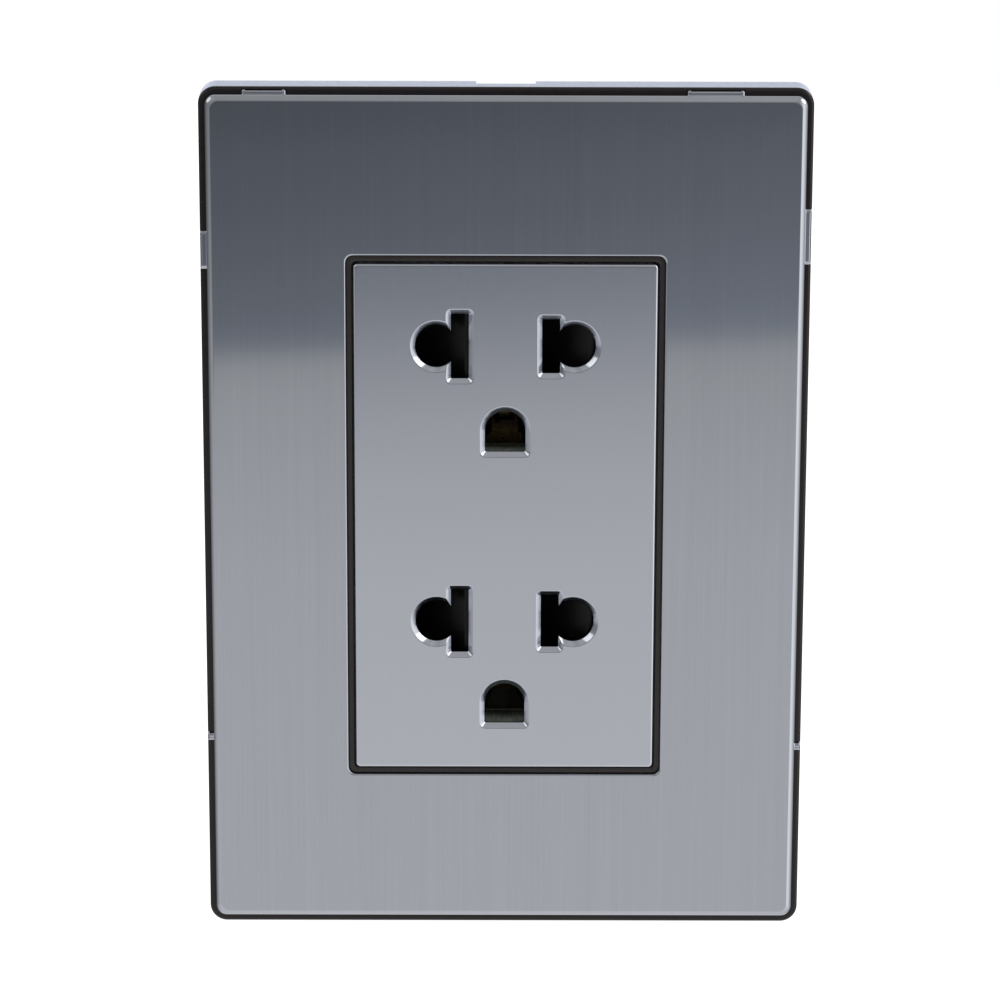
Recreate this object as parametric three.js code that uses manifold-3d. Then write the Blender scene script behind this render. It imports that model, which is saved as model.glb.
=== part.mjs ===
// Duplex wall outlet: clip-on brushed metal cover plate, grid frame, and a shuttered
// socket module with two universal (flat blade, round pin, earth) outlets.
// Millimetres. +X right, +Y into the wall, +Z up. The front faces -Y.
// The origin is the centre of the cover plate, on the front plane of the socket face.
// All pieces sit in groups moved to WALL_Y, so every Y below is measured from the wall.
import * as THREE from "three";
import { mergeVertices } from "three/addons/utils/BufferGeometryUtils.js";
import Module from "manifold-3d";

const wasm = await Module();
wasm.setup();

// ---------------------------------------------------------------- driving dimensions
// Suffixes: _W width, _H height, _R radius, _T thickness
const WALL_Y = 8.8; // the wall surface, behind the socket face's front
const PLATE_W = 84.6, PLATE_H = 119.2, PLATE_R = 2.4; // cover plate, outside of the dark rim
const SKIN_W = 82.7, SKIN_H = 117.0, SKIN_R = 1.5; // brushed metal skin
const SKIN_FRONT = -8.6, SKIN_T = 0.9, SKIN_BEVEL = 0.65;
const RIM_Y = -7.3, RIM_BEVEL = 0.35; // front of the rim shoulder, set back from the skin
const DRAFT = 0.6; // the rim's side walls lean out by this much at the wall
const CARRIER_WALL = 1.8;
const OPEN_W = 44.2, OPEN_H = 73.8, OPEN_R = 1.0, OPEN_BEVEL = 0.2; // opening in the skin
const MOD_Z = -0.4; // centre height of the socket module
const FACE_W = 42.17, FACE_H = 71.7, FACE_R = 0.5; // socket face
const FACE_FRONT = -WALL_Y, FACE_T = 1.0, FACE_BEVEL = 0.3;
const FLANGE_W = 42.9, FLANGE_H = 72.4; // flange of the socket face inside the frame
const LIP_W = 42.6, LIP_H = 72.15; // dark lip of the carrier round the socket face
const LEDGE_W = 42.45, LEDGE_H = 72.0; // ledge behind the lip
const BLADE_Z = [24.0, -15.0]; // heights of the two blade lines
const PIN_X = 9.62, PIN_R = 2.9;
const EARTH_DZ = -11.9, EARTH_R = 2.8, EARTH_FOOT = 2.9; // the foot is flat, this far down
const SLOT_X0 = 5.13, SLOT_X1 = 7.55; // both slots, from the centre line
const SLOT_HALF_LEFT = 4.48, SLOT_HALF_RIGHT = 3.73; // half heights: neutral and line
const APERTURE_BEVEL = 0.65;
const APERTURE_GAP = 0.15; // growth of the apertures in the plates behind the face
const FRAME_W = 76.0, FRAME_H = 112.0; // grid frame
const FIX_Z = 83.3 / 2; // fixing screws, from the centre
const CLIP_Z = [-38, 0, 38], CLIP_X = 38.35; // clip arms of the cover
const CLIP_HALF = 3.2, CHANNEL_HALF = 3.6; // half heights of an arm and of its channel
const LUG_DZ = 24; // side lugs, from the module's centre
const TERM_Y = 11.3, TERM_Z = [10.5, -1.5], EARTH_TERM_Z = -24.5;
const POST_X = 16.8, POST_DZ = 32.0; // module assembly screws
const PARTITION_FRONT = -0.4, PARTITION_BACK = 0.8;
const HOUSE_W = 41.6, HOUSE_H = 71.0, HOUSE_FRONT = 1.2, HOUSE_BACK = 23.5;
const HOUSE_WALL = 1.8, HOUSE_BEVEL = 0.7;
const CLIP_BASE_FRONT = 12.8, CLIP_BASE_BACK = 13.5; // base plates of the contact clips
const BUS_FRONT = 13.6, BUS_BACK = 14.4; // busbars
const BUS_TAB_X0 = 16.5, BUS_TAB_X1 = 17.3, BUS_TAB_FRONT = 8.4; // busbar tabs
const BUS_SCREW_R = 1.85; // screw holes in the busbar tabs
const RIVET_HOLE_R = 1.05;
const CORNER = 4; // segments in a corner arc
const OVER = 0.2; // how far a bevel cutter stands out in front of its face

// ---------------------------------------------------------------- materials
const standard = (options) => new THREE.MeshStandardMaterial(options);
const MATERIALS = {
  skin: standard({ color: 0x9a9ca3, roughness: 0.32, metalness: 1.0 }),
  rim: standard({ color: 0x2a2422, roughness: 0.18, metalness: 0.0 }),
  silver: standard({ color: 0x9b9da3, roughness: 0.45, metalness: 0.35 }),
  black: standard({ color: 0x0b0b0c, roughness: 0.4, metalness: 0.0 }),
  frame: standard({ color: 0x3a3b3e, roughness: 0.55, metalness: 0.0 }),
  housing: standard({ color: 0xe6e3da, roughness: 0.5, metalness: 0.0 }),
  partition: standard({ color: 0x1c1c1e, roughness: 0.5, metalness: 0.0 }),
  brass: standard({ color: 0xc9a24a, roughness: 0.3, metalness: 1.0 }),
  bronze: standard({ color: 0xb9803f, roughness: 0.3, metalness: 1.0 }),
  steel: standard({ color: 0xb9bcc0, roughness: 0.35, metalness: 1.0 }),
  green: standard({ color: 0x1d7a3a, roughness: 0.4, metalness: 0.4 }),
  nylon: standard({ color: 0xe9e4d2, roughness: 0.6, metalness: 0.0 }),
};
// name, side (-1 left, 1 right), z, material of the screw
const TERMINALS = [
  ["line_1", 1, TERM_Z[0], MATERIALS.brass],
  ["line_2", 1, TERM_Z[1], MATERIALS.brass],
  ["neutral_1", -1, TERM_Z[0], MATERIALS.steel],
  ["neutral_2", -1, TERM_Z[1], MATERIALS.steel],
  ["earth", -1, EARTH_TERM_Z, MATERIALS.green],
];

// ---------------------------------------------------------------- the scene graph
const outlet = new THREE.Group();
outlet.name = "duplex_wall_outlet";
const groups = {};
for (const name of ["cover", "frame", "module", "contacts", "terminals"]) {
  groups[name] = new THREE.Group();
  groups[name].position.y = WALL_Y;
  outlet.add(groups[name]);
}
function addMesh(group, name, body, material, at = [0, 0, 0]) {
  const { numVert, numProp, vertProperties, triVerts } = body.getMesh();
  const positions = new Float32Array(numVert * 3);
  for (let i = 0; i < numVert; i++) {
    positions.set(vertProperties.subarray(i * numProp, i * numProp + 3), i * 3);
  }
  const geometry = new THREE.BufferGeometry();
  geometry.setAttribute("position", new THREE.BufferAttribute(positions, 3));
  geometry.setIndex(new THREE.BufferAttribute(triVerts, 1));
  geometry.computeVertexNormals();
  const mesh = new THREE.Mesh(geometry, material);
  mesh.name = name;
  mesh.position.set(...at);
  groups[group].add(mesh);
}

// ---------------------------------------------------------------- solids
// A manifold solid from a closed geometry, turned right side out if need be.
function toSolid(geometry) {
  const bare = geometry.index ? geometry.toNonIndexed() : geometry.clone();
  for (const name of Object.keys(bare.attributes)) {
    if (name !== "position") bare.deleteAttribute(name);
  }
  const merged = mergeVertices(bare, 1e-4);
  const vertProperties = new Float32Array(merged.attributes.position.array);
  const tri = new Uint32Array(merged.index.array);
  const build = () =>
    new wasm.Manifold(new wasm.Mesh({ numProp: 3, vertProperties, triVerts: tri }));
  const body = build();
  if (body.volume() >= 0) return body;
  for (let i = 0; i < tri.length; i += 3) [tri[i + 1], tri[i + 2]] = [tri[i + 2], tri[i + 1]];
  return build();
}
// Both take solids or arrays of solids.
const union = (...bodies) => bodies.flat().reduce((a, b) => a.add(b));
const cut = (body, ...tools) => tools.flat().reduce((a, b) => a.subtract(b), body);

const mirrorX = (body) => body.mirror([1, 0, 0]);
const pair = (body) => [body, mirrorX(body)];
const onSide = (side, body) => (side < 0 ? mirrorX(body) : body); // body is drawn on +X
const around = (centre, half) => [centre - half, centre + half];

function box(x0, x1, y0, y1, z0, z1) {
  const g = new THREE.BoxGeometry(x1 - x0, y1 - y0, z1 - z0);
  return toSolid(g.translate((x0 + x1) / 2, (y0 + y1) / 2, (z0 + z1) / 2));
}
const basis = (...columns) =>
  new THREE.Matrix4().makeBasis(...columns.map((column) => new THREE.Vector3(...column)));
const PRISM_AXES = {
  x: basis([0, 1, 0], [0, 0, 1], [1, 0, 0]),
  y: basis([1, 0, 0], [0, 0, 1], [0, -1, 0]),
  z: new THREE.Matrix4(),
};
// A shape drawn in the two axes across `axis`, extruded from a to b along it.
function prism(axis, shape, a, b, curveSegments = CORNER) {
  const options = { depth: b - a, bevelEnabled: false, curveSegments };
  const g = new THREE.ExtrudeGeometry(shape, options).applyMatrix4(PRISM_AXES[axis]);
  if (axis === "y") g.translate(0, b, 0); // extruded towards -Y
  else g.translate(axis === "x" ? a : 0, 0, axis === "z" ? a : 0);
  return toSolid(g);
}
const poly = (points) => new THREE.Shape(points.map(([x, y]) => new THREE.Vector2(x, y)));
function roundedRect(w, h, r, z) {
  const shape = new THREE.Shape();
  const x = -w / 2, y = z - h / 2;
  shape.moveTo(x + r, y);
  shape.lineTo(x + w - r, y);
  shape.absarc(x + w - r, y + r, r, -Math.PI / 2, 0);
  shape.lineTo(x + w, y + h - r);
  shape.absarc(x + w - r, y + h - r, r, 0, Math.PI / 2);
  shape.lineTo(x + r, y + h);
  shape.absarc(x + r, y + h - r, r, Math.PI / 2, Math.PI);
  shape.lineTo(x, y + r);
  shape.absarc(x + r, y + r, r, Math.PI, 1.5 * Math.PI);
  return shape;
}
// Rounded slabs lying across Y, centred on the plate or on the module.
const slab = (w, h, r, y0, y1, z = 0, segments = CORNER) =>
  prism("y", roundedRect(w, h, r, z), y0, y1, segments);
const moduleSlab = (w, h, r, y0, y1) => slab(w, h, r, y0, y1, MOD_Z);

// Rounded outline with the same number of points for any size, for lofts.
function corners(w, h, r, z = 0) {
  const points = [];
  for (const [sx, sz, start] of [[1, -1, -90], [1, 1, 0], [-1, 1, 90], [-1, -1, 180]]) {
    for (let i = 0; i <= CORNER; i++) {
      const a = ((start + (90 * i) / CORNER) * Math.PI) / 180;
      points.push([sx * (w / 2 - r) + r * Math.cos(a), z + sz * (h / 2 - r) + r * Math.sin(a)]);
    }
  }
  return points;
}
const moduleCorners = (w, h, r) => corners(w, h, r, MOD_Z);
// The first `count` points of a circle of n segments.
const arc = (r, x, z, n, count = n) =>
  Array.from({ length: count }, (_, i) => {
    const a = (2 * Math.PI * i) / n;
    return [x + r * Math.cos(a), z + r * Math.sin(a)];
  });

// A solid through outlines [y, points] stacked along Y, all with the same number of points.
function loft(rings) {
  const n = rings[0][1].length;
  const positions = [];
  const at = (k, i) => {
    const [y, points] = rings[k];
    const [x, z] = points[i % n];
    return [x, y, z];
  };
  const tri = (a, b, c) => positions.push(...a, ...b, ...c);
  for (let k = 0; k + 1 < rings.length; k++) {
    for (let i = 0; i < n; i++) {
      tri(at(k, i), at(k, i + 1), at(k + 1, i + 1));
      tri(at(k, i), at(k + 1, i + 1), at(k + 1, i));
    }
  }
  for (const [k, flip] of [[0, true], [rings.length - 1, false]]) {
    const flat = rings[k][1].map(([x, z]) => new THREE.Vector2(x, z));
    for (const [a, b, c] of THREE.ShapeUtils.triangulateShape(flat, [])) {
      if (flip) tri(at(k, a), at(k, c), at(k, b));
      else tri(at(k, a), at(k, b), at(k, c));
    }
  }
  const attribute = new THREE.Float32BufferAttribute(positions, 3);
  return toSolid(new THREE.BufferGeometry().setAttribute("position", attribute));
}
// A turned piece: profile points [radius, along]. The axis runs along "x" through
// y = across, or along "y" through x = across, at height z.
function turned(axis, profile, across, z, segments) {
  const g = new THREE.LatheGeometry(profile.map(([r, t]) => new THREE.Vector2(r, t)), segments);
  if (axis === "x") {
    g.applyMatrix4(basis([0, 1, 0], [1, 0, 0], [0, 0, -1])).translate(0, across, z);
  } else g.translate(across, 0, z);
  return toSolid(g);
}
const rod = (axis, r, a, b, across, z, segments = 20) =>
  turned(axis, [[0, a], [r, a], [r, b], [0, b]], across, z, segments);

// Rods at the four assembly screws.
const posts = (r, y0, y1) =>
  [-1, 1].flatMap((sx) =>
    [-1, 1].map((sz) => rod("y", r, y0, y1, sx * POST_X, MOD_Z + sz * POST_DZ, 16)));

// Pan head screw with its seat plane at `seat`. The shank runs towards higher values
// along the axis, or towards lower ones when flipped.
function panScrew(axis, size, { seat, flip = false, across = 0, segments = 16 }) {
  const { headR, headT, shankR, length } = size;
  const k = flip ? -1 : 1;
  const profile = [ // [radius, distance from the seat plane]
    [0, -headT], [headR * 0.55, -headT], [headR * 0.86, -headT * 0.82], [headR, -headT * 0.4],
    [headR, 0], [shankR, 0], [shankR, length - 0.7], [shankR * 0.6, length], [0, length],
  ].map(([r, t]) => [r, seat + k * t]);
  const top = seat - k * headT;
  const ends = [top - k * 0.5, top + k * headT * 0.55].sort((a, b) => a - b);
  const recess = (halfAcross, halfZ) => {
    const wide = around(across, halfAcross);
    const high = around(0, halfZ);
    return axis === "y" ? box(...wide, ...ends, ...high) : box(...ends, ...wide, ...high);
  };
  // a slot right across the head, and a shorter one upright through it
  const reach = headR * 1.15;
  const body = turned(axis, profile, across, 0, segments);
  return cut(body, recess(reach, 0.45), recess(0.42, reach * 0.52));
}

// ---------------------------------------------------------------- apertures
// Outlines of one outlet's openings at blade height z, as functions of their growth.
const apertureOutlines = (z, n) => [
  ...[[-1, -SLOT_X1, -SLOT_X0, SLOT_HALF_LEFT], [1, SLOT_X0, SLOT_X1, SLOT_HALF_RIGHT]].flatMap(
    ([side, x0, x1, half]) => [
      (g) => [
        [x0 - g, z - half - g], [x1 + g, z - half - g],
        [x1 + g, z + half + g], [x0 - g, z + half + g],
      ],
      (g) => arc(PIN_R + g, side * PIN_X, z, n),
    ]),
  (g) => {
    const r = EARTH_R + g;
    const centre = z + EARTH_DZ;
    const foot = centre - EARTH_FOOT - g;
    return [...arc(r, 0, centre, n, n / 2 + 1), [-r, foot], [r, foot]];
  },
];
const apertures = (z, y0, y1, grow, n) =>
  apertureOutlines(z, n).map((outline) => loft([[y0, outline(grow)], [y1, outline(grow)]]));
// Cutters that widen each opening towards the front of the socket face.
const apertureBevels = (z, n) =>
  apertureOutlines(z, n).map((outline) => loft([
    [FACE_FRONT - OVER, outline(APERTURE_BEVEL + OVER)],
    [FACE_FRONT + APERTURE_BEVEL, outline(0)],
  ]));
const innerApertures = (y0, y1) => BLADE_Z.flatMap((z) => apertures(z, y0, y1, APERTURE_GAP, 16));

// ---------------------------------------------------------------- cover plate
// Tabs of the skin fold out over the shoulder of the carrier and back into notches in it, or on
// the top into slots. Each is a flange and a leg that runs back.
const TABS = [ // side, centre along that side, length
  ["left", 37.2, 5.2], ["left", -32.1, 1.0],
  ["right", 39.2, 7.6], ["right", -33.4, 1.0],
  ["top", -33.2, 6.0], ["top", 28.75, 7.8],
];
const TAB_BACK = -5.6, TAB_GAP = 0.2;
const TAB_OUT = 0.9, TAB_OUT_TOP = 0.66; // reach beyond the skin's edge
const NOTCH_OUT = 2.5; // reach of the side notches, right through the carrier's edge

function tabs(grow, sideReach, topReach) {
  const parts = [ // inner face from the skin's edge, y0, y1
    [-0.3 - grow, -8.0 - grow, -7.4 + grow],
    [0.2 - grow, -7.5, TAB_BACK + grow],
  ];
  return TABS.flatMap(([side, centre, length]) => parts.map(([offset, ...depth]) => {
    const span = around(centre, length / 2 + grow);
    const edge = (side === "top" ? SKIN_H : SKIN_W) / 2;
    if (side === "top") return box(...span, ...depth, edge + offset, edge + topReach);
    const tab = box(edge + offset, edge + sideReach, ...depth, ...span);
    return side === "left" ? mirrorX(tab) : tab;
  }));
}

function faceplateSkin() {
  const back = SKIN_FRONT + SKIN_T;
  const flare = 2 * (OPEN_BEVEL + OVER);
  const plate = loft([
    [SKIN_FRONT, corners(SKIN_W - 2 * SKIN_BEVEL, SKIN_H - 2 * SKIN_BEVEL, SKIN_R - 0.3)],
    [SKIN_FRONT + SKIN_BEVEL, corners(SKIN_W, SKIN_H, SKIN_R)],
    [back, corners(SKIN_W, SKIN_H, SKIN_R)],
  ]);
  const opening = loft([
    [SKIN_FRONT - OVER, moduleCorners(OPEN_W + flare, OPEN_H + flare, OPEN_R + 0.3)],
    [SKIN_FRONT + OPEN_BEVEL, moduleCorners(OPEN_W, OPEN_H, OPEN_R)],
    [back + 1, moduleCorners(OPEN_W, OPEN_H, OPEN_R)],
  ]);
  return union(cut(plate, opening), tabs(0, TAB_OUT, TAB_OUT_TOP));
}

// An arm with a nose on its inner side, drawn on +X.
function clipArm(z) {
  const nose = poly([
    [CLIP_X + 0.1, -2.9], [CLIP_X - 0.55, -2.3], [CLIP_X - 0.55, -1.9], [CLIP_X + 0.1, -1.0],
  ]);
  const span = around(z, CLIP_HALF);
  return union(box(CLIP_X, 39.6, -6.3, -1.0, ...span), prism("z", nose, ...span));
}

function plateCarrier() {
  let s = loft([
    [RIM_Y, corners(PLATE_W - 2 * RIM_BEVEL, PLATE_H - 2 * RIM_BEVEL, PLATE_R - 0.3)],
    [RIM_Y + RIM_BEVEL, corners(PLATE_W, PLATE_H, PLATE_R)],
    [0, corners(PLATE_W + 2 * DRAFT, PLATE_H + 2 * DRAFT, PLATE_R + 0.3)],
  ]);
  s = union(
    s,
    slab(SKIN_W - 0.4, SKIN_H - 0.4, 1.3, -7.65, RIM_Y + 0.5), // seat under the skin
    moduleSlab(OPEN_W - 0.1, OPEN_H - 0.1, 0.95, -8.0, RIM_Y + 0.5)); // lip in the skin's opening
  // hollow behind
  s = cut(s, slab(PLATE_W - 2 * CARRIER_WALL, PLATE_H - 2 * CARRIER_WALL, 1.2, -6.1, 1));
  s = union(
    s,
    moduleSlab(LIP_W + 3, LIP_H + 3, 1.2, -6.3, -4.4), // collar round the module
    [-50, -42, 42, 50].map((z) => box(-41, 41, -6.2, -5.2, ...around(z, 0.5))), // ribs
    pair(box(...around(30, 0.5), -6.2, -5.2, -58, 58)));
  s = cut(
    s,
    moduleSlab(LIP_W, LIP_H, 0.6, -9, -7.2), // groove round the socket face
    moduleSlab(LEDGE_W, LEDGE_H, 0.5, -8, -6.4), // close ledge at its bottom
    moduleSlab(FLANGE_W, FLANGE_H + 0.1, 0.6, -6.4, 1));
  s = union(s, CLIP_Z.flatMap((z) => pair(clipArm(z))));
  return cut(
    s,
    box(-4.15, 4.15, -3.2, 0.5, PLATE_H / 2 - 2.5, PLATE_H / 2 + 1), // pry notch in the top edge
    tabs(TAB_GAP, NOTCH_OUT, TAB_OUT_TOP + TAB_GAP / 2));
}
addMesh("cover", "faceplate_skin", faceplateSkin(), MATERIALS.skin);
addMesh("cover", "plate_carrier", plateCarrier(), MATERIALS.rim);

// ---------------------------------------------------------------- grid frame and fixings
function gridFrame() {
  let s = slab(FRAME_W, FRAME_H, 3, -5.0, 0);
  s = cut(s, slab(FRAME_W - 3.2, FRAME_H - 3.2, 2, -5.5, -2.0));
  s = union(s, moduleSlab(46.2, 75.6, 1.5, -3.9, -1));
  s = cut(s, moduleSlab(43.1, 72.6, 0.8, -6, 1));
  for (const z of around(MOD_Z, LUG_DZ)) { // seats for the module's side lugs
    s = cut(s, pair(box(21, 25, -6, -1.5, ...around(z, 4.3))));
  }
  for (const z of CLIP_Z) { // side channels for the cover's clip arms
    s = cut(s, pair(box(37.5, 38.5, -5.5, -0.8, ...around(z, CHANNEL_HALF))));
  }
  for (const end of [-1, 1]) {
    s = union(s, slab(17, 10, 2, -2.6, -1, end * FIX_Z)); // fixing pad
    s = cut(s, slab(9.0, 4.2, 2.09, -4, 1, end * FIX_Z, 6)); // fixing slot
    s = cut(s, [-30, 30].map((x) => rod("y", 1.9, -6, 1, x, end * 48, 16))); // spare holes
    s = union(s, pair(box(10, 30, -4.2, -1.5, ...around(end * 50, 0.6)))); // end ribs
  }
  for (const z of [-38, -19, 0, 19, 38]) { // side ribs
    s = union(s, pair(box(25.6, 37, -4.0, -1.5, ...around(z, 0.6))));
  }
  return s;
}
const FIXING_SCREW = { headR: 3.45, headT: 2.2, shankR: 1.7, length: 24.0 };
const screwRetainer = () => cut(rod("y", 4.0, 0.1, 0.9, 0, 0, 24), rod("y", 1.8, 0, 1, 0, 0));

addMesh("frame", "grid_frame", gridFrame(), MATERIALS.frame);
for (const [name, z] of [["top", FIX_Z], ["bottom", -FIX_Z]]) {
  const screw = panScrew("y", FIXING_SCREW, { seat: -2.65 });
  addMesh("frame", "fixing_screw_" + name, screw, MATERIALS.steel, [0, 0, z]);
  addMesh("frame", "screw_retainer_" + name, screwRetainer(), MATERIALS.nylon, [0, 0, z]);
}

// ---------------------------------------------------------------- socket module
function socketFace() {
  const inside = FACE_FRONT + FACE_T;
  const outline = moduleCorners(FACE_W, FACE_H, FACE_R + 0.1);
  let s = loft([
    [FACE_FRONT, moduleCorners(FACE_W - 2 * FACE_BEVEL, FACE_H - 2 * FACE_BEVEL, FACE_R)],
    [FACE_FRONT + FACE_BEVEL, outline],
    [1.0, outline],
  ]);
  s = cut(s, moduleSlab(FACE_W - 2.6, FACE_H - 2.6, 0.6, inside, 2));
  s = union(s, posts(2.2, inside - 0.3, 1.0));
  s = cut(s, posts(1.3, -6.8, 2));
  for (const z of around(MOD_Z, LUG_DZ)) { // side lugs
    s = union(s, pair(box(20.6, 24.3, -3.2, -1.6, ...around(z, 4))));
  }
  // close flange in the frame's opening
  const flange = moduleSlab(FLANGE_W, FLANGE_H, 0.7, -3.2, -2.4);
  s = union(s, cut(flange, moduleSlab(FACE_W - 1, FACE_H - 1, 0.6, -4, -2)));
  for (const z of BLADE_Z) s = cut(s, apertures(z, -9.5, -7.5, 0, 24), apertureBevels(z, 24));
  return s;
}

// A plate that fills the module's inside, clear of the posts.
const innerPlate = (y0, y1) => cut(moduleSlab(39.1, 68.6, 0.5, y0, y1), posts(2.5, y0 - 1, y1 + 1));

function apertureLiner() {
  let s = innerPlate(-7.7, -6.5);
  for (const z of BLADE_Z) {
    const earthZ = z + EARTH_DZ;
    s = union(
      s,
      box(-13.6, 13.6, -6.6, -0.6, z - 6.0, z - 4.95), // guide rails
      box(-13.6, 13.6, -6.6, -0.6, z + 8.85, z + 9.6),
      box(12.0, 13.4, -6.6, -1.0, z + 5.95, z + 9.0), // spring seat
      box(-3.7, 3.7, -6.6, -0.6, earthZ - 3.8, earthZ + 3.7)); // earth tunnel
    s = cut(s, apertures(z, -9.5, 0, APERTURE_GAP, 16));
  }
  return s;
}

// Two ramped wings, joined by a bar above both openings.
function shutter() {
  const wing = (x0, x1) =>
    prism("z", poly([[x0, -0.8], [x0, -1.6], [x1 - 0.7, -6.3], [x1, -6.3], [x1, -0.8]]), -4.7, 4.7);
  return union(
    wing(-12.7, -4.95),
    wing(4.9, 12.4),
    box(-12.7, 12.4, -4.6, -0.8, 4.6, 5.3),
    box(-4.6, -3.4, -6.0, -0.8, 5.2, 8.6)); // spring lug
}

const SPRING = { startX: -3.1, length: 14.8, radius: 1.1, turns: 7, wireR: 0.2 };
class Helix extends THREE.Curve {
  getPoint(t, target = new THREE.Vector3()) {
    const { startX, length, radius, turns } = SPRING;
    const a = 2 * Math.PI * turns * t;
    return target.set(startX + length * t, radius * Math.cos(a), radius * Math.sin(a));
  }
}
function shutterSpring() {
  const wire = new THREE.Shape().absarc(0, 0, SPRING.wireR, 0, 2 * Math.PI);
  const options = { steps: 56, curveSegments: 3, bevelEnabled: false, extrudePath: new Helix() };
  return toSolid(new THREE.ExtrudeGeometry(wire, options));
}

const partitionPlate = () =>
  cut(innerPlate(PARTITION_FRONT, PARTITION_BACK), innerApertures(-1, 2));

function housingShell() {
  const insideW = HOUSE_W - 2 * HOUSE_WALL, insideH = HOUSE_H - 2 * HOUSE_WALL;
  let s = loft([
    [HOUSE_FRONT, moduleCorners(HOUSE_W, HOUSE_H, 1.2)],
    [HOUSE_BACK - HOUSE_BEVEL, moduleCorners(HOUSE_W, HOUSE_H, 1.2)],
    [HOUSE_BACK, moduleCorners(HOUSE_W - 2 * HOUSE_BEVEL, HOUSE_H - 2 * HOUSE_BEVEL, 1.0)],
  ]);
  const partingGroove = cut(
    moduleSlab(HOUSE_W + 2, HOUSE_H + 2, 1.2, 3.6, 4.0),
    moduleSlab(HOUSE_W - 0.6, HOUSE_H - 0.6, 1.0, 3, 5));
  s = cut(s, partingGroove);
  s = cut(s, moduleSlab(insideW, insideH, 0.6, HOUSE_FRONT - 1, HOUSE_BACK - HOUSE_WALL));
  const wallSpan = around(MOD_Z, insideH / 2 + 0.5);
  s = union(
    s,
    pair(box(...around(4.2, 0.4), HOUSE_FRONT, HOUSE_BACK - 1, ...wallSpan)), // channel walls
    posts(2.7, HOUSE_FRONT, HOUSE_BACK - 1),
    pair(box(5, 20, 15.2, 22, 3.9, 5.1))); // terminal barriers
  return cut(s, posts(1.6, 0, 30), posts(2.9, HOUSE_BACK - 2.4, 30));
}

const BACK_RINGS = [[0, 30], [0, -31], [-12, 17], [12, 17], [-12, -22], [12, -22]]; // x, z

function rearHousing() {
  let s = housingShell();
  for (const [, side, z] of TERMINALS) { // windows in the sides, wire entries in the back
    s = cut(s, onSide(side, box(18.4, 22, 7.5, 15.1, ...around(z, 4.3))));
    s = cut(s, around(z, 2.6).map((entryZ) => rod("y", 1.25, 20, 25, side * 17.45, entryZ, 10)));
  }
  // the earth bus passes through the left channel wall
  s = cut(s, box(-5.5, -3.5, 13.2, 14.8, -28.4, -22.6));
  // blank recessed panel and ring marks on the back
  s = cut(s, slab(21, 8.6, 1.0, HOUSE_BACK - 0.3, 30, MOD_Z + 5.5));
  for (const [x, z] of BACK_RINGS) {
    s = cut(s, cut(rod("y", 1.7, HOUSE_BACK - 0.2, 30, x, z), rod("y", 1.4, 20, 31, x, z)));
  }
  // grooves across the ends
  for (const z of around(MOD_Z, 27.2)) s = cut(s, slab(27, 0.8, 0.39, HOUSE_BACK - 0.35, 30, z));
  // wiring release slots
  for (const z of [24, -14]) s = cut(s, pair(box(7, 11, 20, 25, ...around(z, 0.7))));
  return s;
}

addMesh("module", "socket_face", socketFace(), MATERIALS.silver);
addMesh("module", "aperture_liner", apertureLiner(), MATERIALS.black);
BLADE_Z.forEach((z, i) => {
  const name = ["upper", "lower"][i];
  const springAt = [0, -3.6, z + 7.35];
  addMesh("module", "shutter_" + name, shutter(), MATERIALS.black, [0, 0, z]);
  addMesh("module", "shutter_spring_" + name, shutterSpring(), MATERIALS.steel, springAt);
});
addMesh("module", "partition_plate", partitionPlate(), MATERIALS.partition);
addMesh("module", "rear_housing", rearHousing(), MATERIALS.housing);

const MODULE_SCREW = { headR: 2.6, headT: 1.6, shankR: 1.2, length: 26.2 };
for (const [row, sz] of [["top", 1], ["bottom", -1]]) {
  for (const [column, sx] of [["left", -1], ["right", 1]]) {
    const screw = panScrew("y", MODULE_SCREW, { seat: HOUSE_BACK - 2.3, flip: true, segments: 14 });
    const at = [sx * POST_X, 0, MOD_Z + sz * POST_DZ];
    addMesh("module", `module_screw_${row}_${column}`, screw, MATERIALS.steel, at);
  }
}

// ---------------------------------------------------------------- contacts
// A sprung leaf: line of points [x, y], thickened towards +X, standing from -half to half in z.
function leaf(points, thickness, half) {
  const farSide = points.slice().reverse().map(([x, y]) => [x + thickness, y]);
  return prism("z", poly([...points, ...farSide]), -half, half);
}
const PIN_LEAF = [ // y, z: out along one face and back along the other
  [13.4, 2.5], [10, 2.4], [6.2, 1.8], [2.5, 2.9],
  [2.5, 3.35], [6.2, 2.25], [10, 2.85], [13.4, 2.95],
];
// Neutral clip on the left, line clip on the right.
function hybridClip(side) {
  const pinLeaf = prism("x", poly(PIN_LEAF), 8.0, 11.4);
  const s = union(
    box(4.95, 12.7, CLIP_BASE_FRONT, CLIP_BASE_BACK, -4.2, 4.2),
    leaf([[5.05, 13.4], [5.1, 10], [5.45, 6.2], [5.1, 2.5]], 0.45, 3.1), // inner blade leaf
    leaf([[7.1, 13.4], [7.05, 10], [6.8, 6.2], [7.05, 2.5]], 0.45, 3.1), // outer blade leaf
    pinLeaf,
    pinLeaf.mirror([0, 0, 1]));
  return onSide(side, cut(s, rod("y", RIVET_HOLE_R, 12, 14, PIN_X, 0, 12)));
}
function earthClip() {
  const s = union(
    box(-2.9, 2.9, CLIP_BASE_FRONT, CLIP_BASE_BACK, -2.8, 2.8),
    pair(leaf([[2.4, 13.4], [2.35, 10], [1.9, 6.6], [2.9, 2.5]], 0.5, 2.3)));
  return cut(s, rod("y", RIVET_HOLE_R, 12, 14, 0, 0, 12));
}
const RIVET_PROFILE = [ // radius, y
  [0, 12.25], [1.2, 12.3], [1.6, 12.7], [0.95, 12.75],
  [0.95, 14.45], [1.5, 14.5], [1.4, 14.85], [0, 14.95],
];
const rivet = () => turned("y", RIVET_PROFILE, 0, 0, 12);

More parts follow.
